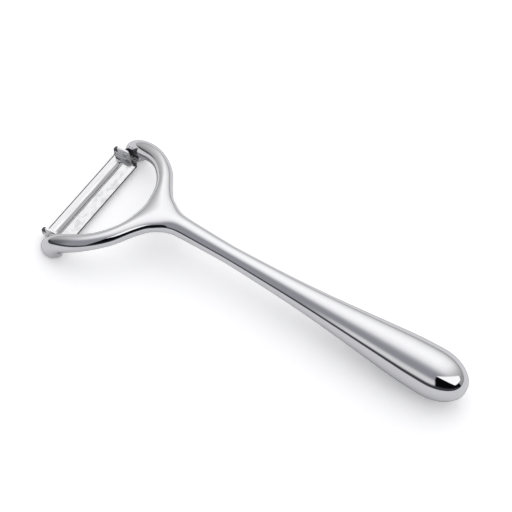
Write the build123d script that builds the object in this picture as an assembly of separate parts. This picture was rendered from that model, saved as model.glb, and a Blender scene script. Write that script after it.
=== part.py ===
# A Y-shaped vegetable peeler: one polished casting that is both handle and fork,
# and a slotted steel blade that swivels across the fork on two headed pins.
# Millimetres. X runs from the blade to the end of the handle, Y across the fork,
# Z up from the table. The origin is under the middle of the peeler, on the table.

from build123d import *
from math import atan2, cos, pi, radians, sin, sqrt, tan
import os

# handle
bulb_radius = 10.8
bulb_reach = 173.6
bulb_end = 16.2
neck_radius = 4.1
neck_reach = 71.0
junction_radius = 4.6
junction_reach = 48.0
root_radius = 3.4
root_reach = 40.0
handle_tilt = 3.15

# fork
fork_half_span = 31.4
fork_depth = 32.3
arm_radius = 3.5
crotch_radius = 3.95
shoulder_angle = 26.0
arch_reach = 45.0
arm_lift = 1.2
seam_relief = 0.1

# round ends of the arms, which carry the pins
boss_radius = 4.9
boss_width = 8.1
boss_inset = 3.7
boss_round = 3.0
boss_inner_round = 0.4
boss_setback = 1.8

# pivot pins
pin_radius = 1.0
pin_head_radius = 1.6
pin_head_height = 0.6
pin_head_round = 0.4
pin_depth = 4.2
pin_running_clearance = 0.05
pin_end_play = 0.15
pivot_lift = 0.1

# blade
blade_thickness = 0.9
blade_front = 6.7
blade_back = 6.7
blade_drop = 2.8
blade_hang = 7.0
blade_side_clearance = 0.45
slot_width = 1.3
edge_setback = 5.6
slot_end_land = 3.2
slot_end_radius = 1.15
bevel_width = 2.6
edge_thickness = 0.1
guard_corner = 2.6
ear_back = 1.9
ear_margin = 2.5
ear_front_round = 2.8
ear_back_round = 1.6
bend_radius = 0.5
notch_width = 0.6
rim_round = 0.25

# how far a cutting shape runs past what it cuts
overrun = 1.0

# the swell from neck to bulb as shares, against shares of the way from one to the other
swell_shares = [(0.1, 0.027), (0.3, 0.157), (0.485, 0.349), (0.68, 0.627), (0.856, 0.89)]
# where the fork's section is set, as shares of a quarter turn from the handle's line
station_shares = [-1, -0.84, -0.68, -0.52, -0.36, -0.18, 0, 0.18, 0.36, 0.52, 0.68, 0.84, 1]
# where the section of the blend into the neck is set, as shares of the blend's turn
blend_shares = [1, 0.75, 0.5, 0.28, 0.12]
# how fast an arm thickens towards its end
flare_power = 8
# how far back along the arm a blend starts, as a share of the shoulder's angle
blend_root_share = 1.35

# places along the peeler, which is centred on the origin
tilt = radians(handle_tilt)
hang = radians(blade_hang)
ear_corner_run = (blade_front - ear_front_round) * cos(hang)
ear_corner_lean = (ear_margin - ear_front_round) * sin(hang)
front_reach = ear_front_round + ear_corner_run + ear_corner_lean
bulb_end_run = sqrt((bulb_end * cos(tilt))**2 + (bulb_radius * sin(tilt))**2)
pivot_x = (front_reach - bulb_reach - bulb_end_run) / 2
bulb_x = pivot_x + bulb_reach
arch_x = pivot_x + arch_reach
boss_x = pivot_x + boss_setback
# the bosses and the bulb all touch the table
boss_z = boss_radius
pivot_z = boss_z + pivot_lift
bulb_z = sqrt((bulb_radius * cos(tilt))**2 + (bulb_end * sin(tilt))**2)
arch_z = bulb_z + tan(tilt) * (bulb_x - arch_x)
arch_run = arch_x - boss_x
arch_rise = arch_z - boss_z - arm_lift
arch_bend = (arch_rise + tan(tilt) * arch_run) / arch_run**2
boss_face = fork_half_span - boss_inset


# The casting's middle surface runs straight along the handle, and bends down to the
# table over the fork as a parabola.
def centre_height(x):
    forward = min(x - arch_x, 0)
    return arch_z - tan(tilt) * (x - arch_x) - arch_bend * forward**2


def centre_slope(x):
    forward = min(x - arch_x, 0)
    return -tan(tilt) - 2 * arch_bend * forward


# An oval across a path that lies in the middle surface, level the one way.
def section(x, y, along_x, along_y, half_width, half_height):
    along = Vector(along_x, along_y, along_x * centre_slope(x))
    across = Vector(along_y, -along_x, 0)
    place = Plane(origin=(x, y, centre_height(x)), x_dir=across, z_dir=along)
    return place * Ellipse(half_width, half_height)


# A point of the fork's middle line, which is a half ellipse, and the direction there
# from the arm's end towards the handle's line.
def fork_point(angle):
    x = boss_x + fork_depth * cos(angle)
    y = fork_half_span * sin(angle)
    return x, y, fork_depth * sin(angle), -fork_half_span * cos(angle)


def arm_waist(angle):
    return crotch_radius + (arm_radius - crotch_radius) * abs(sin(angle))


# One tube makes both arms and the crotch, and thickens towards the bosses.
def fork_tube():
    sections = []
    for share in station_shares:
        angle = share * pi / 2
        flare = abs(sin(angle))**flare_power
        waist = arm_waist(angle)
        half_width = waist + (boss_inset - seam_relief - waist) * flare
        half_height = waist + (boss_radius - arm_lift - waist) * flare
        sections.append(section(*fork_point(angle), half_width, half_height))
    return loft(sections)


# From the shoulder of the fork a round arc leads to the handle's own line.
shoulder = radians(shoulder_angle)
shoulder_x, shoulder_y, shoulder_along_x, shoulder_along_y = fork_point(shoulder)
blend_turn = atan2(-shoulder_along_y, shoulder_along_x)
corner_run = shoulder_y / sin(blend_turn)
blend_end_x = shoulder_x + corner_run * cos(blend_turn) + corner_run
blend_radius = corner_run / tan(blend_turn / 2)


def blend_point(turn):
    x = blend_end_x - blend_radius * sin(turn)
    y = blend_radius - blend_radius * cos(turn)
    return x, y, cos(turn), -sin(turn)


# A tube along one side of the neck, which gives the neck its hollow outline.
def neck_side():
    root_angle = shoulder * blend_root_share
    start_radius = arm_waist(shoulder) - seam_relief
    end_radius = junction_radius - 2 * seam_relief
    first = start_radius - seam_relief
    sections = [section(*fork_point(root_angle), first, first)]
    for share in blend_shares:
        radius = end_radius + (start_radius - end_radius) * share
        sections.append(section(*blend_point(blend_turn * share), radius, radius))
    return loft(sections)


# The web fills the space that the crotch and the two sides of the neck enclose, and
# thickens with them towards the handle.
def web():
    apex_x = boss_x + fork_depth
    apex = (apex_x, 0)
    last_share = blend_shares[-1]
    middle_x, middle_y = blend_point(blend_turn * (1 + last_share) / 2)[:2]
    tip_x, tip_y = blend_point(blend_turn * last_share)[:2]
    outline = [
        Line((shoulder_x, -shoulder_y), apex),
        Line(apex, (shoulder_x, shoulder_y)),
        ThreePointArc((shoulder_x, shoulder_y), (middle_x, middle_y), (tip_x, tip_y)),
        Line((tip_x, tip_y), (tip_x, -tip_y)),
        ThreePointArc((tip_x, -tip_y), (middle_x, -middle_y), (shoulder_x, -shoulder_y)),
    ]
    column = extrude(make_face(outline), amount=arch_z + bulb_radius)
    start_x = shoulder_x - crotch_radius
    end_x = blend_end_x + crotch_radius
    rows = []
    for side in (-1, 1):
        row = []
        for x in (start_x, apex_x, arch_x, end_x):
            growth = max(x - apex_x, 0) / (end_x - apex_x)
            half_height = crotch_radius + (junction_radius - crotch_radius) * growth - seam_relief
            row.append((x, centre_height(x) + side * half_height))
        rows.append(row)
    start_slope = Vector(1, centre_slope(start_x))
    end_slope = Vector(1, centre_slope(end_x))
    below = Spline(*rows[0], tangents=[start_slope, end_slope])
    above = Spline(*rows[1], tangents=[start_slope, end_slope])
    band = make_face([below, Line(below @ 1, above @ 1), above, Line(above @ 0, below @ 0)])
    slab = extrude(Plane.XZ * band, amount=fork_half_span, both=True)
    return column & slab


# The handle is round about its own tilted line, thin at the neck and thickest at the
# bulb, which ends as half an egg.
def handle():
    along = Vector(cos(tilt), 0, -sin(tilt))
    place = Plane(origin=(bulb_x, 0, bulb_z), x_dir=along, z_dir=(0, -1, 0))
    neck_run = neck_reach - bulb_reach
    junction_run = junction_reach - bulb_reach
    root_run = root_reach - bulb_reach
    points = [(root_run, root_radius), (junction_run, junction_radius), (neck_run, neck_radius)]
    for way, swell in swell_shares:
        points.append((neck_run * (1 - way), neck_radius + (bulb_radius - neck_radius) * swell))
    points.append((0, bulb_radius))
    side = Spline(*points, tangents=[(1, tan(radians(shoulder_angle))), (1, 0)])
    end = EllipticalCenterArc((0, 0), bulb_end, bulb_radius, arc_size=90)
    profile = make_face([side, end, Line((bulb_end, 0), (root_run, 0)), Line((root_run, 0), points[0])])
    return revolve(place * profile, Axis((bulb_x, 0, bulb_z), along))


# A disc about the pivot's direction, from one distance off the middle to another.
def disc(x, z, radius, inner_y, outer_y):
    place = Plane(origin=(x, inner_y, z), x_dir=(1, 0, 0), z_dir=(0, 1, 0))
    return extrude(place * Circle(radius), amount=outer_y - inner_y)


def boss():
    outer_y = boss_face + boss_width
    body = disc(boss_x, boss_z, boss_radius, boss_face, outer_y)
    rims = body.edges().filter_by(GeomType.CIRCLE).sort_by(Axis.Y)
    body = fillet(rims[-1], boss_round)
    rims = body.edges().filter_by(GeomType.CIRCLE).sort_by(Axis.Y)
    return fillet(rims[0], boss_inner_round)


def both_sides(solid):
    return [solid, mirror(solid, about=Plane.XZ)]


def handle_fork():
    casting = handle() + both_sides(neck_side())
    casting += web()
    casting += fork_tube()
    casting += both_sides(boss())
    bore = disc(pivot_x, pivot_z, pin_radius, boss_face - overrun, boss_face + pin_depth)
    return casting - both_sides(bore)


ear_face = boss_face - blade_side_clearance
ear_inner = ear_face - blade_thickness
strip_top = pivot_z - blade_drop
strip_bottom = strip_top - blade_thickness
front_x = pivot_x - blade_front
back_x = pivot_x + blade_back
cutting_x = front_x + edge_setback
slot_back_x = cutting_x + slot_width
slot_middle_x = cutting_x + slot_width / 2
slot_half = ear_inner - slot_end_land
ear_back_x = pivot_x + ear_back
ear_top = pivot_z + ear_margin
bend_start = ear_inner - bend_radius
hole_radius = pin_radius + pin_running_clearance


# The flat of the blade: a front band ground to the cutting edge, a slot and a guard.
# Its ends are cut back under the ears, as far as the bends.
def strip():
    plan = Pos(X=(front_x + back_x) / 2) * Rectangle(back_x - front_x, 2 * ear_face)
    plan = fillet(plan.vertices().sort_by(Axis.X)[2:], guard_corner)
    notch = (ear_back_x + notch_width - front_x, ear_face - bend_start)
    slot = Pos(X=slot_middle_x) * Rectangle(slot_width, 2 * slot_half)
    for side in (-1, 1):
        slot += Pos(slot_middle_x, side * slot_half) * Circle(slot_end_radius)
        plan -= Pos(front_x + notch[0] / 2, side * (bend_start + notch[1] / 2)) * Rectangle(*notch)
    sheet = extrude(Plane.XY.offset(strip_bottom) * (plan - slot), amount=blade_thickness)
    long_edges = sheet.edges().filter_by(Axis.Y)
    outer_edges = [edge for edge in long_edges if edge.length > 2 * slot_half]
    sheet = fillet(outer_edges, rim_round)
    bevel = Polyline(
        (cutting_x - bevel_width, strip_top),
        (slot_middle_x, strip_top),
        (slot_middle_x, strip_bottom + edge_thickness),
        (cutting_x, strip_bottom + edge_thickness),
        close=True,
    )
    return sheet - extrude(Plane.XZ * make_face(bevel), amount=slot_half, both=True)


# An ear is bent up from each end of the front band and has the pin's hole.
def ear():
    bend_z = strip_top + bend_radius
    outer_radius = bend_radius + blade_thickness
    flat_y = bend_start - bend_radius
    middle = sqrt(1 / 2)
    inner_middle = (bend_start + bend_radius * middle, bend_z - bend_radius * middle)
    outer_middle = (bend_start + outer_radius * middle, bend_z - outer_radius * middle)
    bend = make_face([
        Line((flat_y, strip_top), (bend_start, strip_top)),
        ThreePointArc((bend_start, strip_top), inner_middle, (ear_inner, bend_z)),
        Line((ear_inner, bend_z), (ear_inner, ear_top)),
        Line((ear_inner, ear_top), (ear_face, ear_top)),
        Line((ear_face, ear_top), (ear_face, bend_z)),
        ThreePointArc((ear_face, bend_z), outer_middle, (bend_start, strip_bottom)),
        Line((bend_start, strip_bottom), (flat_y, strip_bottom)),
        Line((flat_y, strip_bottom), (flat_y, strip_top)),
    ])
    tab = extrude(Plane.YZ.offset(front_x) * bend, amount=ear_back_x - front_x)
    outline = make_face(Polyline(
        (front_x, strip_bottom - overrun),
        (ear_back_x, strip_bottom - overrun),
        (ear_back_x, ear_top),
        (front_x, ear_top),
        close=True,
    ))
    front_top, back_top = outline.vertices().sort_by(Axis.Y)[2:].sort_by(Axis.X)
    outline = fillet(back_top, ear_back_round)
    front_top = outline.vertices().sort_by(Axis.X)[:2].sort_by(Axis.Y)[-1]
    outline = fillet(front_top, ear_front_round)
    tab &= extrude(Plane.XZ * outline, amount=-2 * boss_face)
    return tab - disc(pivot_x, pivot_z, hole_radius, ear_inner - overrun, ear_face + overrun)


# The blade is made level and hangs front edge down, as its weight turns it.
def blade():
    level = strip() + both_sides(ear())
    return level.rotate(Axis((pivot_x, 0, pivot_z), (0, 1, 0)), -blade_hang)


# A pin is pressed into the boss and holds the ear with its low domed head.
def pivot_pin():
    head_y = ear_inner - pin_end_play
    shank = disc(pivot_x, pivot_z, pin_radius, head_y, boss_face + pin_depth)
    head = disc(pivot_x, pivot_z, pin_head_radius, head_y - pin_head_height, head_y)
    head = fillet(head.edges().filter_by(GeomType.CIRCLE).sort_by(Axis.Y)[0], pin_head_round)
    return shank + head


def main():
    os.makedirs("parts", exist_ok=True)
    right_pin = pivot_pin()
    pieces = {
        "handle_fork": handle_fork(),
        "blade": blade(),
        "pivot_pin_right": right_pin,
        "pivot_pin_left": mirror(right_pin, about=Plane.XZ),
    }
    for name, piece in pieces.items():
        export_step(piece, f"parts/{name}.step")


main()
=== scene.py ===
from math import atan, atan2, cos, pi, radians, sin, sqrt, tan

import bmesh
import bpy
from mathutils import Matrix, Vector


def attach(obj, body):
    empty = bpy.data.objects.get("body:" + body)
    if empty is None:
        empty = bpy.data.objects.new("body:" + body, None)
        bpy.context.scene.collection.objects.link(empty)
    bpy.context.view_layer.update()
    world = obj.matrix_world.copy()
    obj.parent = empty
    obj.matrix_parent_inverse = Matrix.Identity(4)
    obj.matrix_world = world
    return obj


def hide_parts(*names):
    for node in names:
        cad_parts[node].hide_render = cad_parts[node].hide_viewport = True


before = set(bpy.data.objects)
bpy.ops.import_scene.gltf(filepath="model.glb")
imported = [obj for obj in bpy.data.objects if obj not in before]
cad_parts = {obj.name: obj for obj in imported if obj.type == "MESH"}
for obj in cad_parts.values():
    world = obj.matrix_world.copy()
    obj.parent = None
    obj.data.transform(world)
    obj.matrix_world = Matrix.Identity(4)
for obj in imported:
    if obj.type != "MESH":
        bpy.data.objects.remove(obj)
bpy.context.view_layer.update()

mm = 0.001
touching = 1e-6  # metres: points as near as this are one

# the peeler lies as the CAD has it: X to the handle's end, Y across the fork
pivotX = -91.576
castingSizes = {
    "bulbX": pivotX + 173.6,  # where the handle is thickest
    "bulbRadius": 10.8,
    "bulbEnd": 16.2,          # from there to the tip
    "bulbCuts": (12, 26, 42, 60, 78),  # degrees from the tip, a ring at each
    "bulbBack": [(1.5, 0.04), (7.5, 0.25)],  # towards the neck: how far back, radius lost
    "neckX": pivotX + 71.0,
    "neckRadius": 4.1,
    # share of the way from the neck to the bulb, share of the radius gained
    "swell": [(0, 0), (0.1, 0.027), (0.3, 0.157), (0.485, 0.349), (0.68, 0.627), (0.856, 0.89)],
    "neckEnd": (pivotX + 58.5, 4.4),  # place along X, radius
    # rings where the neck spreads into the fork: place along X, half width, half height
    "shoulder": [(-39.8, 4.6, 4.6), (-44.3, 5.0, 4.6), (-47.8, 6.2, 4.35), (-51.8, 8.5, 4.05)],
    "tilt": 3.15,             # degrees the handle drops towards the bulb
    "archX": pivotX + 45.0,   # where the arms start to bend down
    "bossX": pivotX + 1.8,    # the fork is half an oval about this place
    "bossRadius": 4.9,        # of the arms' round ends
    "armLift": 1.2,           # the arm's middle comes in this much above theirs
    "forkSpan": 31.4,         # half width of the oval
    "forkDepth": 32.3,        # and its length
    "crotchRadius": 3.95,
    "crotchPlace": 1.08,      # of these radii, from the oval to the crotch's edge
    "crotchRound": (1.2, 0.85),  # its upper and lower points: mm back, radii up or down
    "armRadius": 3.5,
    "armStart": (16, 3.95, 5.4),  # degrees round the oval, half width inside and outside
    "armCuts": (27, 39, 51, 63, 74, 83),
    "armSwell": [(-0.1, 3.75, 3.85), (-0.25, 4.0, 4.2), (-0.1, 3.9, 4.3)],  # the last: out, half sizes
    "endX": pivotX + 2.5,     # middle of the round end
    "endWide": 4.4,           # its half sizes
    "endHigh": 4.4,
    "endInside": 27.7,        # from the peeler's middle to the flat inner face
    "endOutside": 32.0,
    "endDome": 1.5,           # rounding of the outer rim
    "footY": 31.8,            # the arm stands on the table here
    # rings down to the table: place along X, height, half width, half length, lean
    "foot": [(0.8, 5.9, 3.95, 4.8, 58), (-0.4, 3.4, 4.1, 5.5, 80), (-0.5, 1.2, 4.0, 5.5, 90),
             (-0.3, 0.2, 3.2, 4.4, 90), (-0.3, 0.1, 1.8, 2.4, 90)],
    "smoothness": 3,          # subdivision levels
}


def startPiece(name):
    # an empty mesh object in edit mode, alone in the selection
    bpy.ops.object.select_all(action="DESELECT")
    bpy.ops.mesh.primitive_circle_add(vertices=8, radius=mm)
    piece = bpy.context.object
    piece.name = name
    bpy.ops.object.mode_set(mode="EDIT")
    bpy.ops.mesh.delete(type="VERT")
    return piece


def pick(piece, test, domain="verts"):
    mesh = bmesh.from_edit_mesh(piece.data)
    bpy.ops.mesh.select_all(action="DESELECT")
    for part in getattr(mesh, domain):
        if test(part):
            part.select_set(True)
    mesh.select_flush_mode()
    bmesh.update_edit_mesh(piece.data)


def turn(axis, angle):
    # with no window the operator turns the other way
    bpy.ops.transform.rotate(value=-angle, orient_axis=axis, orient_type="GLOBAL",
                             center_override=(0, 0, 0))


roundCage = 1.108   # a cage of eight points stands this much outside the round it makes
cornerInset = 0.293  # a round's slanting points lie this share of its radius inside its sides


def addRing(piece, centre, halfWidth, halfHeight, heading=0.0, lean=0.0):
    # eight points across a path; wide ones keep round sides and a flat middle
    bpy.ops.mesh.select_all(action="DESELECT")
    bpy.ops.mesh.primitive_circle_add(vertices=8, radius=1, rotation=(0, pi / 2, 0))
    mesh = bmesh.from_edit_mesh(piece.data)
    mesh.verts.ensure_lookup_table()
    ring = [v.index for v in mesh.verts if v.select]
    wide, high = halfWidth * roundCage * mm, halfHeight * roundCage * mm
    bpy.ops.transform.resize(value=(1, wide, high), center_override=(0, 0, 0))
    push = cornerInset * (wide - high)
    if abs(push) > touching:
        for side in (1, -1):
            pick(piece, lambda v: v.index in ring and v.co.y * side > 0.1 * wide
                 and abs(v.co.z) > 0.1 * high)
            bpy.ops.transform.translate(value=(0, side * push, 0))
        pick(piece, lambda v: v.index in ring)
    turn("Y", lean)
    turn("Z", heading)
    bpy.ops.transform.translate(value=tuple(c * mm for c in centre))
    return ring


def joinRings(piece, first, second):
    both = set(first) | set(second)
    pick(piece, lambda e: all(v.index in both for v in e.verts), "edges")
    bpy.ops.mesh.bridge_edge_loops()


def settle(targets):
    # rings that make the finished surface pass through the wanted ones; 30 rounds are plenty
    rings = [list(t) for t in targets]
    for _ in range(30):
        for i in range(1, len(rings) - 1):
            for k in range(len(rings[i])):
                now = (rings[i - 1][k] + 4 * rings[i][k] + rings[i + 1][k]) / 6
                rings[i][k] += targets[i][k] - now
    return rings


def centreHeight(x):
    c = castingSizes
    tilt = radians(c["tilt"])
    fall = tan(tilt)
    bulbZ = sqrt((c["bulbRadius"] * cos(tilt)) ** 2 + (c["bulbEnd"] * sin(tilt)) ** 2)
    archZ = bulbZ + fall * (c["bulbX"] - c["archX"])
    run = c["archX"] - c["bossX"]
    rise = archZ - c["bossRadius"] - c["armLift"]
    bend = (rise + fall * run) / run**2
    return archZ - fall * (x - c["archX"]) - bend * min(x - c["archX"], 0) ** 2


def slopeAt(x):
    return (centreHeight(x + 0.01) - centreHeight(x - 0.01)) / 0.02


def armRing(angle, inner=None, outer=None):
    # centre, half width, half height, heading and lean of the arm's section
    c = castingSizes
    a = radians(angle)
    x, y = c["bossX"] + c["forkDepth"] * cos(a), c["forkSpan"] * sin(a)
    along = Vector((-c["forkDepth"] * sin(a), c["forkSpan"] * cos(a))).normalized()
    waist = c["crotchRadius"] + (c["armRadius"] - c["crotchRadius"]) * sin(a)
    inner, outer = inner or waist, outer or waist
    shift = (outer - inner) / 2
    x, y = x + along.y * shift, y - along.x * shift
    lean = atan(slopeAt(x) * -along.x)
    return [x, y, centreHeight(x), (inner + outer) / 2, waist, atan2(along.y, along.x), lean]


def makeCasting():
    c = castingSizes
    piece = startPiece("casting")
    tilt = radians(c["tilt"])

    # handle, from the bulb's end to the fork's shoulder
    reach = (c["bulbX"] - c["neckX"]) * cos(tilt)
    stations = []
    for angle in c["bulbCuts"]:
        run = c["bulbEnd"] * cos(tilt) * cos(radians(angle))
        stations.append((c["bulbX"] + run, c["bulbRadius"] * sin(radians(angle))))
    stations += [(c["bulbX"] - back, c["bulbRadius"] - less) for back, less in c["bulbBack"]]
    for way, share in reversed(c["swell"]):
        x = c["bulbX"] - reach * (1 - way)
        stations.append((x, c["neckRadius"] + (c["bulbRadius"] - c["neckRadius"]) * share))
    stations.append(c["neckEnd"])
    handle = settle([(x, radius, radius) for x, radius in stations] + c["shoulder"])
    rings = [addRing(piece, (x, 0, centreHeight(x)), wide, high, 0, tilt) for x, wide, high in handle]
    for first, second in zip(rings, rings[1:]):
        joinRings(piece, first, second)
    pick(piece, lambda v: v.index in rings[0])
    bpy.ops.mesh.edge_face_add()
    pick(piece, lambda f: len(f.verts) == 8, "faces")
    bpy.ops.mesh.poke()
    print("handle made")

    # one arm; the other is its mirror image
    mesh = bmesh.from_edit_mesh(piece.data)
    lastX = min(v.co.x for v in mesh.verts)
    middle = [v for v in mesh.verts if v.co.x < lastX + 2 * mm and abs(v.co.y) < touching]
    middle.sort(key=lambda v: v.co.z)
    bottomAt, topAt = middle[0].co.copy(), middle[-1].co.copy()
    crotchX = c["bossX"] + c["forkDepth"] - c["crotchRadius"] * c["crotchPlace"]
    back, lift = c["crotchRound"]
    lift *= c["crotchRadius"]
    crotch = [(crotchX + back, lift), (crotchX, 0), (crotchX + back, -lift)]
    points = [Vector((x, 0, centreHeight(x) + up)) * mm for x, up in crotch]
    pick(piece, lambda v: (v.co - topAt).length < touching)
    here = topAt
    for point in points:
        bpy.ops.mesh.extrude_vertices_move(TRANSFORM_OT_translate={"value": tuple(point - here)})
        here = point
    pick(piece, lambda v: any((v.co - end).length < touching for end in (points[-1], bottomAt)))
    bpy.ops.mesh.edge_face_add()

    # rings round the fork, the last ones thicker
    arms = [armRing(*c["armStart"])] + [armRing(angle) for angle in c["armCuts"]]
    for ring, (out, wide, high) in zip(arms[-len(c["armSwell"]):], c["armSwell"]):
        ring[1] += out
        ring[3], ring[4] = wide, high
    arms = [arms[0]] + settle(arms)[1:]
    rings = [addRing(piece, ring[:3], *ring[3:]) for ring in arms]
    # and bends down to stand on the table
    for back, z, wide, high, lean in c["foot"]:
        rings.append(addRing(piece, (c["endX"] + back, c["footY"], z), wide, high, pi, radians(lean)))
    for first, second in zip(rings, rings[1:]):
        joinRings(piece, first, second)
    pick(piece, lambda v: v.index in rings[-1])
    bpy.ops.mesh.edge_face_add()
    pick(piece, lambda f: len(f.verts) == 8 and all(v.index in rings[-1] for v in f.verts), "faces")
    bpy.ops.mesh.poke()

    # the arm's first ring meets the open edge of the shoulder and the crotch
    def onShoulder(v):
        onHandle = abs(v.co.x - topAt.x) < 2 * mm and v.co.y > -touching and len(v.link_faces)
        onCrotch = any((v.co - point).length < touching for point in points)
        return onHandle and v.index not in rings[0] or onCrotch

    mesh = bmesh.from_edit_mesh(piece.data)
    loop = {v.index for v in mesh.verts if onShoulder(v)} | set(rings[0])
    pick(piece, lambda e: len(e.link_faces) < 2 and all(v.index in loop for v in e.verts), "edges")
    bpy.ops.mesh.bridge_edge_loops()
    print("arm made")

    # the round end beside the blade, in rings along Y: a flat inner face, the wall and the
    # domed outer face; each ring is its place, its share of the size and mm less
    wide, high, endX = c["endWide"], c["endHigh"], c["endX"]
    inside, outside, dome = c["endInside"], c["endOutside"], c["endDome"]
    discs = [(inside, 0.5, 0), (inside, 0.98, 0), (inside + 0.6, roundCage, 0),
             ((inside + outside - dome) / 2, roundCage, 0), (outside - dome * 0.75, roundCage, 0),
             (outside, 1.03, dome * 0.45), (outside + 0.1, 0.3, 0)]
    lobe = []
    for y, share, less in discs:
        bpy.ops.mesh.select_all(action="DESELECT")
        bpy.ops.mesh.primitive_circle_add(vertices=8, radius=mm, rotation=(pi / 2, 0, 0))
        size = ((wide - less) * share, 1, (high - less) * share)
        bpy.ops.transform.resize(value=size, center_override=(0, 0, 0))
        bpy.ops.transform.translate(value=(endX * mm, y * mm, high * mm))
        mesh = bmesh.from_edit_mesh(piece.data)
        lobe.append([v.index for v in mesh.verts if v.select])
    for first, second in zip(lobe, lobe[1:]):
        joinRings(piece, first, second)
    for ring in (lobe[0], lobe[-1]):
        pick(piece, lambda v: v.index in ring)
        bpy.ops.mesh.edge_face_add()
    pick(piece, lambda f: len(f.verts) == 8, "faces")
    bpy.ops.mesh.poke()
    # the middle is left open, where the other side joins
    pick(piece, lambda v: v.co.y < -touching)
    bpy.ops.mesh.delete(type="VERT")

    bpy.ops.mesh.select_all(action="SELECT")
    bpy.ops.mesh.normals_make_consistent(inside=False)
    bpy.ops.object.mode_set(mode="OBJECT")
    mirror = piece.modifiers.new("other side", "MIRROR")
    mirror.use_axis = (False, True, False)
    mirror.merge_threshold = 0.02 * mm
    bpy.ops.object.modifier_apply(modifier=mirror.name)
    rounding = piece.modifiers.new("smooth metal", "SUBSURF")
    rounding.levels = rounding.render_levels = c["smoothness"]
    bpy.ops.object.modifier_apply(modifier=rounding.name)
    bpy.ops.object.mode_set(mode="EDIT")
    bpy.ops.mesh.select_all(action="SELECT")
    bpy.ops.mesh.normals_make_consistent(inside=False)
    bpy.ops.object.mode_set(mode="OBJECT")
    bpy.ops.object.shade_smooth()
    print("casting made", len(piece.data.polygons))
    return piece


def link(tree, source, target):
    tree.links.new(source, target)


def calc(tree, operation, first, second=None, third=None):
    # one math node; each input is a number or another node's output
    node = tree.nodes.new("ShaderNodeMath")
    node.operation = operation
    for place, value in enumerate((first, second, third)):
        if value is None:
            continue
        if isinstance(value, (int, float)):
            node.inputs[place].default_value = value
        else:
            link(tree, value, node.inputs[place])
    return node.outputs[0]


def step(tree, value, start, end):
    # 0 below start, 1 above end, soft between them
    node = tree.nodes.new("ShaderNodeMapRange")
    node.interpolation_type = "SMOOTHSTEP"
    link(tree, value, node.inputs["Value"])
    node.inputs["From Min"].default_value = start
    node.inputs["From Max"].default_value = end
    return node.outputs["Result"]


def fade(tree, value, start, end):
    # 1 below start, 0 above end
    return step(tree, calc(tree, "MULTIPLY", value, -1), -end, -start)


def times(tree, first, *others):
    for other in others:
        first = calc(tree, "MULTIPLY", first, other)
    return first


def mixColours(tree, amount, first, second):
    node = tree.nodes.new("ShaderNodeMix")
    node.data_type = "RGBA"
    sockets = [n for n in node.inputs if n.type == "RGBA"]
    link(tree, amount, node.inputs[0])
    for socket, value in zip(sockets, (first, second)):
        if isinstance(value, tuple):
            socket.default_value = (*value, 1)
        else:
            link(tree, value, socket)
    return [n for n in node.outputs if n.type == "RGBA"][0]


def ramp(tree, value, stops):
    # stops are degrees from -90 to 90 with a brightness or a colour
    node = tree.nodes.new("ShaderNodeValToRGB")
    link(tree, calc(tree, "MULTIPLY_ADD", value, 1 / 180, 0.5), node.inputs[0])
    while len(node.color_ramp.elements) > 1:
        node.color_ramp.elements.remove(node.color_ramp.elements[0])
    for i, (angle, tone) in enumerate(stops):
        place = angle / 180 + 0.5
        if i == 0:
            stop = node.color_ramp.elements[0]
            stop.position = place
        else:
            stop = node.color_ramp.elements.new(place)
        stop.color = (*tone, 1) if isinstance(tone, tuple) else (tone, tone, tone, 1)
    return node.outputs[0]


studioLight = {
    # the large cloth-covered light: degrees from overhead to the back, brightness
    "depth": [
        (-50, (0.43, 0.43, 0.47)), (-40, (0.42, 0.42, 0.46)), (-30, (0.46, 0.46, 0.50)),
        (-20, (0.69, 0.69, 0.72)), (-10, (1.11, 1.11, 1.13)), (0, 1.40), (10, 1.52), (18, 1.6),
        (34, 1.6), (40, 1.56), (50, 1.47), (60, 1.32), (70, 1.10), (80, 0.69), (89, 0.54)],
    # how it pales to the room at its sides: degrees to the right, share
    "width": [
        (-88, 0.40), (-70, 0.42), (-60, 0.49), (-50, 0.60), (-40, 0.83), (-32, 1.0), (2, 1.0),
        (10, 0.97), (20, 0.91), (30, 0.74), (40, 0.56), (50, 0.43), (60, 0.33), (88, 0.26)],
    # the second light, crisp, low on the right; its sides on a ceiling one unit up
    "low": (1.62, 1.62, 1.62),
    "lowSlant": (1.4, -1.2, 0.12),  # left side: slope, place and softness
    "lowFront": (-0.80, -0.74),
    "lowBack": (1.1, 1.3),
    "lowRight": (2.7, 2.85),
    # the darkness in front of it and on its right
    "gap": (0.004, 0.004, 0.005),
    "gapFront": (-0.80, -0.76),
    "gapRight": (2.9, 3.1),
    "gapFrom": (13, 17),            # degrees to the right
    "gapTo": (5, 9),                # degrees round from X to the back
    "front": (0.07, 0.07, 0.08),    # the dark of the room low in front
    "frontFrom": (79, 87),          # degrees from overhead
    "table": (0.9, 0.9, 0.9),       # under the horizon the room repeats the table
}


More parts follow.
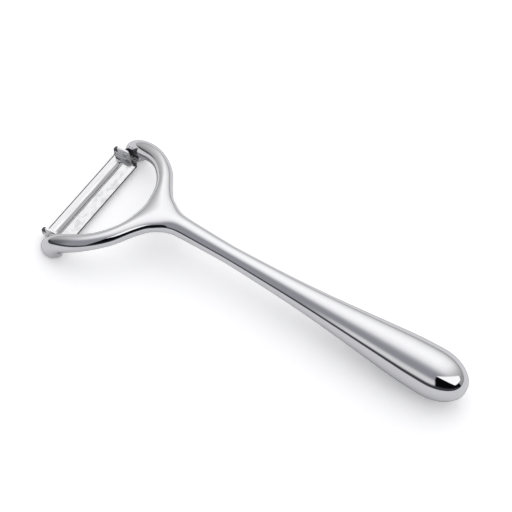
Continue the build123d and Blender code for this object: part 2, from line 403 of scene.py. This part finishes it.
def makeStudio():
    # the light is told by direction: Y is degrees from overhead to the back, X to the right
    light = studioLight
    world = bpy.data.worlds.new("studio")
    bpy.context.scene.world = world
    world.use_nodes = True
    tree = world.node_tree
    tree.nodes.clear()
    where = tree.nodes.new("ShaderNodeTexCoord")
    split = tree.nodes.new("ShaderNodeSeparateXYZ")
    link(tree, where.outputs["Generated"], split.inputs[0])
    x, y, z = split.outputs
    squares = calc(tree, "ADD", times(tree, x, x), calc(tree, "MULTIPLY_ADD", y, y, 1e-6))
    flat = calc(tree, "SQRT", squares)
    fromTop = times(tree, calc(tree, "ARCTAN2", flat, z), 180 / pi)
    azimuth = times(tree, calc(tree, "ARCTAN2", y, x), 180 / pi)
    spread = calc(tree, "DIVIDE", fromTop, flat)
    alongX, alongY = times(tree, x, spread), times(tree, y, spread)
    height = calc(tree, "MAXIMUM", z, 0.02)
    u, v = calc(tree, "DIVIDE", x, height), calc(tree, "DIVIDE", y, height)

    room = tree.nodes.new("ShaderNodeVectorMath")
    room.operation = "MULTIPLY"
    link(tree, ramp(tree, alongY, light["depth"]), room.inputs[0])
    link(tree, ramp(tree, alongX, light["width"]), room.inputs[1])

    slope, place, soft = light["lowSlant"]
    slant = calc(tree, "SUBTRACT", calc(tree, "MULTIPLY_ADD", u, slope, place), v)
    lit = times(tree, step(tree, slant, -soft, soft), step(tree, v, *light["lowFront"]),
                fade(tree, u, *light["lowRight"]), fade(tree, v, *light["lowBack"]))
    beside = calc(tree, "MAXIMUM", fade(tree, v, *light["gapFront"]), step(tree, u, *light["gapRight"]))
    dark = times(tree, beside, step(tree, alongX, *light["gapFrom"]), fade(tree, azimuth, *light["gapTo"]))
    colour = mixColours(tree, dark, room.outputs[0], light["gap"])
    colour = mixColours(tree, lit, colour, light["low"])

    front = times(tree, step(tree, fromTop, *light["frontFrom"]), fade(tree, y, -0.2, 0))
    colour = mixColours(tree, front, colour, light["front"])
    colour = mixColours(tree, step(tree, z, -0.03, -0.01), light["table"], colour)

    # the camera sees white, the object sees the room
    seen = tree.nodes.new("ShaderNodeLightPath").outputs["Is Camera Ray"]
    lamps, back = tree.nodes.new("ShaderNodeBackground"), tree.nodes.new("ShaderNodeBackground")
    link(tree, colour, lamps.inputs["Color"])
    back.inputs["Color"].default_value = (1, 1, 1, 1)
    joined = tree.nodes.new("ShaderNodeMixShader")
    link(tree, seen, joined.inputs[0])
    link(tree, lamps.outputs[0], joined.inputs[1])
    link(tree, back.outputs[0], joined.inputs[2])
    out = tree.nodes.new("ShaderNodeOutputWorld")
    link(tree, joined.outputs[0], out.inputs["Surface"])


cardSizes = {
    "from": (0.004, 0.017),      # metres: left end and lower edge
    "to": (0.098, 0.046),        # right end and upper edge
    "softFrom": (0.034, 0.008),  # how far it takes to become solid there
    "softTo": (0.004, 0.017),
    "front": -0.040,
    "light": 0.92,
}


def makeCard():
    # a low pale card in front of the handle, seen in the metal only
    c = cardSizes
    bpy.ops.object.select_all(action="DESELECT")
    bpy.ops.mesh.primitive_plane_add(size=1, rotation=(pi / 2, 0, 0))
    card = bpy.context.object
    card.name = "card"
    wide, high = c["to"][0] - c["from"][0], c["to"][1] - c["from"][1]
    card.scale = (wide, high, 1)
    card.location = (c["from"][0] + wide / 2, c["front"], c["from"][1] + high / 2)
    bpy.ops.object.transform_apply(location=True, rotation=True, scale=True)
    material, tree, paper = newMaterial("pale card")
    paper.inputs["Base Color"].default_value = (0.1, 0.1, 0.1, 1)
    paper.inputs["Emission Color"].default_value = (1, 1, 1, 1)
    paper.inputs["Emission Strength"].default_value = c["light"]
    x, _, z = placeOf(tree)
    solid = times(tree, step(tree, x, c["from"][0], c["from"][0] + c["softFrom"][0]),
                  step(tree, z, c["from"][1], c["from"][1] + c["softFrom"][1]))
    for way, end, soft in zip((x, z), c["to"], c["softTo"]):
        solid = times(tree, solid, fade(tree, way, end - soft, end))
    link(tree, solid, paper.inputs["Alpha"])
    card.data.materials.append(material)
    card.visible_camera = card.visible_diffuse = card.visible_shadow = False


def newMaterial(name):
    material = bpy.data.materials.new(name)
    material.use_nodes = True
    tree = material.node_tree
    return material, tree, tree.nodes["Principled BSDF"]


def objectNoise(tree, scale, detail=2.0, stretch=None):
    # noise that sits in the object's own space
    where = tree.nodes.new("ShaderNodeTexCoord").outputs["Object"]
    if stretch:
        turned = tree.nodes.new("ShaderNodeMapping")
        turned.inputs["Scale"].default_value = stretch
        link(tree, where, turned.inputs[0])
        where = turned.outputs[0]
    noise = tree.nodes.new("ShaderNodeTexNoise")
    noise.inputs["Scale"].default_value = scale
    noise.inputs["Detail"].default_value = detail
    link(tree, where, noise.inputs["Vector"])
    return noise.outputs[0]


def placeOf(tree):
    split = tree.nodes.new("ShaderNodeSeparateXYZ")
    link(tree, tree.nodes.new("ShaderNodeTexCoord").outputs["Object"], split.inputs[0])
    return split.outputs


def addBump(tree, height, distance, strength, target):
    bump = tree.nodes.new("ShaderNodeBump")
    bump.inputs["Strength"].default_value = strength
    bump.inputs["Distance"].default_value = distance
    link(tree, height, bump.inputs["Height"])
    link(tree, bump.outputs[0], target.inputs["Normal"])


def roughFrom(tree, value, limits, target):
    # roughness between two limits, by a value from 0 to 1
    rough = tree.nodes.new("ShaderNodeMapRange")
    link(tree, value, rough.inputs["Value"])
    rough.inputs["To Min"].default_value, rough.inputs["To Max"].default_value = limits
    link(tree, rough.outputs["Result"], target.inputs["Roughness"])


chromeLook = {
    "colour": (0.60, 0.60, 0.615),
    "dullColour": (0.57, 0.57, 0.59),
    "dullSize": 260,         # noise cells per metre
    "rimShadeColour": (0.13, 0.13, 0.145),
    "rimShade": (0.62, 0.92),     # painted shade: how far round towards the outline the metal darkens, in place of the shaded floor it reflects there
    "roughness": (0.015, 0.05),
    "waveSize": 70,          # noise cells per metre
    "waveDepth": 0.00004,
    # painted shade, near black, on the inner faces round the pins where the gap beside the blade lies in
    # shadow; in metres
    "pinShadeColour": (0.03, 0.03, 0.035),
    "pinShadeIn": (0.026, 0.0265),      # from the middle out
    "pinShadeOut": (0.0280, 0.0284),
    "pinShadeBack": (-0.0856, -0.0850),
    "pinShadeLow": (0.0042, 0.0052),
}


def makeChrome():
    look = chromeLook
    material, tree, metal = newMaterial("polished casting")
    metal.inputs["Metallic"].default_value = 1
    wave = objectNoise(tree, look["waveSize"], 1.0)
    cloud = objectNoise(tree, look["dullSize"], 3.0)
    colour = mixColours(tree, cloud, look["colour"], look["dullColour"])
    facing = tree.nodes.new("ShaderNodeLayerWeight")
    facing.inputs["Blend"].default_value = 0.5
    # painted shade: the base colour darkens towards the outline, standing in for a reflection of shade
    rimShade = step(tree, facing.outputs["Facing"], *look["rimShade"])
    colour = mixColours(tree, rimShade, colour, look["rimShadeColour"])

    # painted shade round the pins: near black on the inner faces of the arms' ends
    x, y, z = placeOf(tree)
    aside = calc(tree, "ABSOLUTE", y)
    near = times(tree, fade(tree, aside, *look["pinShadeOut"]), step(tree, aside, *look["pinShadeIn"]))
    ahead = times(tree, fade(tree, x, *look["pinShadeBack"]), step(tree, z, *look["pinShadeLow"]))
    colour = mixColours(tree, times(tree, near, ahead), colour, look["pinShadeColour"])
    link(tree, colour, metal.inputs["Base Color"])
    roughFrom(tree, cloud, look["roughness"], metal)
    addBump(tree, wave, look["waveDepth"], 1.0, metal)
    return material


bladeLook = {
    "hang": 7,               # degrees the blade hangs from level
    "pivot": (pivotX, 0, 5.0),
    "polished": (0.63, 0.63, 0.635),
    "milky": (0.52, 0.52, 0.535),
    "ground": (0.52, 0.52, 0.54),
    "groundPale": (0.70, 0.70, 0.72),
    "ear": (0.9, 0.9, 0.91),
    # painted shade: the colour of the dark lines on the blade's edges, ear corners and lower bend
    "dark": (0.05, 0.05, 0.055),
    "mottle": (330, 0.42, 0.66),   # noise cells per metre, where marks begin and are full
    "hair": (2600, 0.35, 0.65),
    # places in mm from the pivots: X across the blade, Y along it, Z up
    "front": -6.7,
    "bevel": (-3.9, -1.1),
    "slot": (-1.1, 0.2),
    "back": 6.7,
    "slotHalf": 23.2,
    "flat": (-2.7, -2.3),    # the strip is below this
    "earFrom": (25.6, -2.5),
    "knobShade": (-4.3, -0.6),    # painted shade on an ear's front corner, which is in front of and above this
    # painted shade below this height, at the blade's lower bend
    "under": -3.1,
    "roughness": 0.10,
    "bevelRoughness": 0.22,  # what each adds to it
    "earRoughness": 0.4,
    "milkyRoughness": 0.08,
    "depth": 0.00001,
}
far = 20  # mm: past the blade in front, behind, above and below


def makeBladeSteel():
    look = bladeLook
    material, tree, metal = newMaterial("blade steel")
    metal.inputs["Metallic"].default_value = 1
    level = tree.nodes.new("ShaderNodeMapping")
    link(tree, tree.nodes.new("ShaderNodeTexCoord").outputs["Object"], level.inputs[0])
    hang = radians(look["hang"])
    level.inputs["Rotation"].default_value = (0, hang, 0)
    level.inputs["Location"].default_value = Matrix.Rotation(hang, 3, "Y") @ Vector(look["pivot"]) * -mm
    split = tree.nodes.new("ShaderNodeSeparateXYZ")
    link(tree, level.outputs[0], split.inputs[0])
    x, y, z = [calc(tree, "MULTIPLY", way, 1000) for way in split.outputs]
    aside = calc(tree, "ABSOLUTE", y)

    def between(value, start, end, soft=0.1):
        return times(tree, step(tree, value, start - soft, start + soft),
                     fade(tree, value, end - soft, end + soft))

    def noise(size, stretch, detail):
        turned = tree.nodes.new("ShaderNodeMapping")
        turned.inputs["Scale"].default_value = stretch
        link(tree, level.outputs[0], turned.inputs[0])
        made = tree.nodes.new("ShaderNodeTexNoise")
        made.inputs["Scale"].default_value = size
        made.inputs["Detail"].default_value = detail
        link(tree, turned.outputs[0], made.inputs["Vector"])
        return made.outputs[0]

    # water-like mottling on the guard, hair lines along the ground bevel
    (slotFront, slotBack), slotHalf = look["slot"], look["slotHalf"]
    size, begins, full = look["mottle"]
    mottle = step(tree, noise(size, (1, 0.7, 1), 3.0), begins, full)
    size, begins, full = look["hair"]
    hair = step(tree, noise(size, (1, 0.03, 1), 2.0), begins, full)
    flat = fade(tree, z, *look["flat"])
    milky = times(tree, mottle, times(tree, between(x, slotBack, far), flat))
    colour = mixColours(tree, milky, look["polished"], look["milky"])
    ground = mixColours(tree, hair, look["ground"], look["groundPale"])
    bevel = times(tree, between(x, *look["bevel"]), between(aside, -1, slotHalf + 1.2), flat)
    colour = mixColours(tree, bevel, colour, ground)
    earY, earZ = look["earFrom"]
    ear = times(tree, between(aside, earY, 60), between(z, earZ, far))
    colour = mixColours(tree, ear, colour, look["ear"])

    # painted shade: dark lines at the rims (front, both sides of the slot, back and the ears' front
    # corners) and below the lower bend, in place of the shade these edges reflect
    slotEdgeShade = calc(tree, "MAXIMUM", between(x, slotFront - 0.22, slotFront + 0.05, 0.05),
                     between(x, slotBack - 0.05, slotBack + 0.22, 0.05))
    slotEdgeShade = times(tree, slotEdgeShade, between(aside, -1, slotHalf))
    edgeShade = calc(tree, "MAXIMUM", between(x, -far, look["front"] + 0.6, 0.08),
                between(x, look["back"] - 0.16, far, 0.05))
    edgeShade = calc(tree, "MAXIMUM", edgeShade, slotEdgeShade)
    knobX, knobZ = look["knobShade"]
    knobShade = times(tree, between(x, -far, knobX, 0.2), between(z, knobZ, far, 0.2))
    under = times(tree, between(z, -far, look["under"], 0.1), 0.6)
    edgeShade = calc(tree, "MAXIMUM", edgeShade, calc(tree, "MAXIMUM", knobShade, under))
    colour = mixColours(tree, edgeShade, colour, look["dark"])
    link(tree, colour, metal.inputs["Base Color"])
    rough = calc(tree, "MULTIPLY_ADD", bevel, look["bevelRoughness"], look["roughness"])
    rough = calc(tree, "MULTIPLY_ADD", ear, look["earRoughness"], rough)
    rough = calc(tree, "MULTIPLY_ADD", milky, look["milkyRoughness"], rough)
    link(tree, rough, metal.inputs["Roughness"])
    link(tree, calc(tree, "MULTIPLY_ADD", ear, -0.85, 1), metal.inputs["Metallic"])
    relief = calc(tree, "MULTIPLY_ADD", times(tree, hair, bevel), 0.3, milky)
    addBump(tree, relief, look["depth"], 0.5, metal)
    return material


steelLook = {
    "colour": (0.66, 0.66, 0.66),
    "roughness": (0.16, 0.30),
    "hairSize": 900,         # noise cells per metre
    "hairStretch": (0.04, 1, 1),
    "hairDepth": 0.00002,
}


def makeSteel(name):
    look = steelLook
    material, tree, metal = newMaterial(name)
    metal.inputs["Metallic"].default_value = 1
    metal.inputs["Base Color"].default_value = (*look["colour"], 1)
    hair = objectNoise(tree, look["hairSize"], 4.0, look["hairStretch"])
    roughFrom(tree, hair, look["roughness"], metal)
    addBump(tree, hair, look["hairDepth"], 0.5, metal)
    return material


floorLook = {
    "colour": (0.86, 0.86, 0.87),
    "glow": 0.26,            # lifts the white where it is seen directly
    "metalGlow": 0.12,       # and where it is seen in metal
    "edge": (0.09, 0.15),    # metres in front, where metal sees the table end
    "beyond": (0.07, 0.07, 0.08),
}


def makeFloor():
    look = floorLook
    bpy.ops.object.select_all(action="DESELECT")
    bpy.ops.mesh.primitive_plane_add(size=6)
    floor = bpy.context.object
    floor.name = "floor"
    material, tree, paper = newMaterial("white table")
    paper.inputs["Base Color"].default_value = (*look["colour"], 1)
    paper.inputs["Roughness"].default_value = 0.9
    paper.inputs["Specular IOR Level"].default_value = 0.1
    path = tree.nodes.new("ShaderNodeLightPath")
    mirrored = calc(tree, "MAXIMUM", path.outputs["Is Glossy Ray"], path.outputs["Is Transmission Ray"])
    seen = calc(tree, "MULTIPLY", path.outputs["Is Camera Ray"], look["glow"])
    glow = calc(tree, "MULTIPLY_ADD", mirrored, look["metalGlow"], seen)
    paper.inputs["Emission Color"].default_value = (1, 1, 1, 1)
    link(tree, glow, paper.inputs["Emission Strength"])
    ended = step(tree, calc(tree, "MULTIPLY", placeOf(tree)[1], -1), *look["edge"])
    ended = times(tree, path.outputs["Is Glossy Ray"], ended)
    shade = tree.nodes.new("ShaderNodeEmission")
    shade.inputs["Color"].default_value = (*look["beyond"], 1)
    joined = tree.nodes.new("ShaderNodeMixShader")
    link(tree, ended, joined.inputs[0])
    link(tree, paper.outputs[0], joined.inputs[1])
    link(tree, shade.outputs[0], joined.inputs[2])
    link(tree, joined.outputs[0], tree.nodes["Material Output"].inputs["Surface"])
    floor.data.materials.append(material)


cameraSizes = {
    "aim": (-0.013698, 0.014987, 0.0),
    "turned": 33.14,         # degrees round from straight in front
    "raised": 55.37,         # degrees up from the table
    "distance": 0.720,
    "lens": 116.04,
}


def makeCamera():
    c = cameraSizes
    t, e = radians(c["turned"]), radians(c["raised"])
    back = Vector((sin(t) * cos(e), -cos(t) * cos(e), sin(e)))
    right = Vector((cos(t), sin(t), 0))
    camera = bpy.data.cameras.new("camera")
    camera.lens, camera.sensor_width = c["lens"], 36
    holder = bpy.data.objects.new("camera", camera)
    bpy.context.scene.collection.objects.link(holder)
    holder.location = Vector(c["aim"]) + back * c["distance"]
    holder.rotation_euler = Matrix((right, back.cross(right), back)).transposed().to_euler()
    camera.clip_start, camera.clip_end = 0.01, 20
    bpy.context.scene.camera = holder


bpy.context.scene.view_settings.view_transform = "Standard"
makeStudio()
makeCard()
makeFloor()
makeCamera()
print("studio made")

casting = makeCasting()
casting.data.materials.append(makeChrome())
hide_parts("handle_fork")
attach(casting, "frame")

bpy.data.objects["blade"].data.materials.clear()
bpy.data.objects["blade"].data.materials.append(makeBladeSteel())
pinSteel = makeSteel("pin steel")
for name in ("pivot_pin_left", "pivot_pin_right"):
    bpy.data.objects[name].data.materials.clear()
    bpy.data.objects[name].data.materials.append(pinSteel)
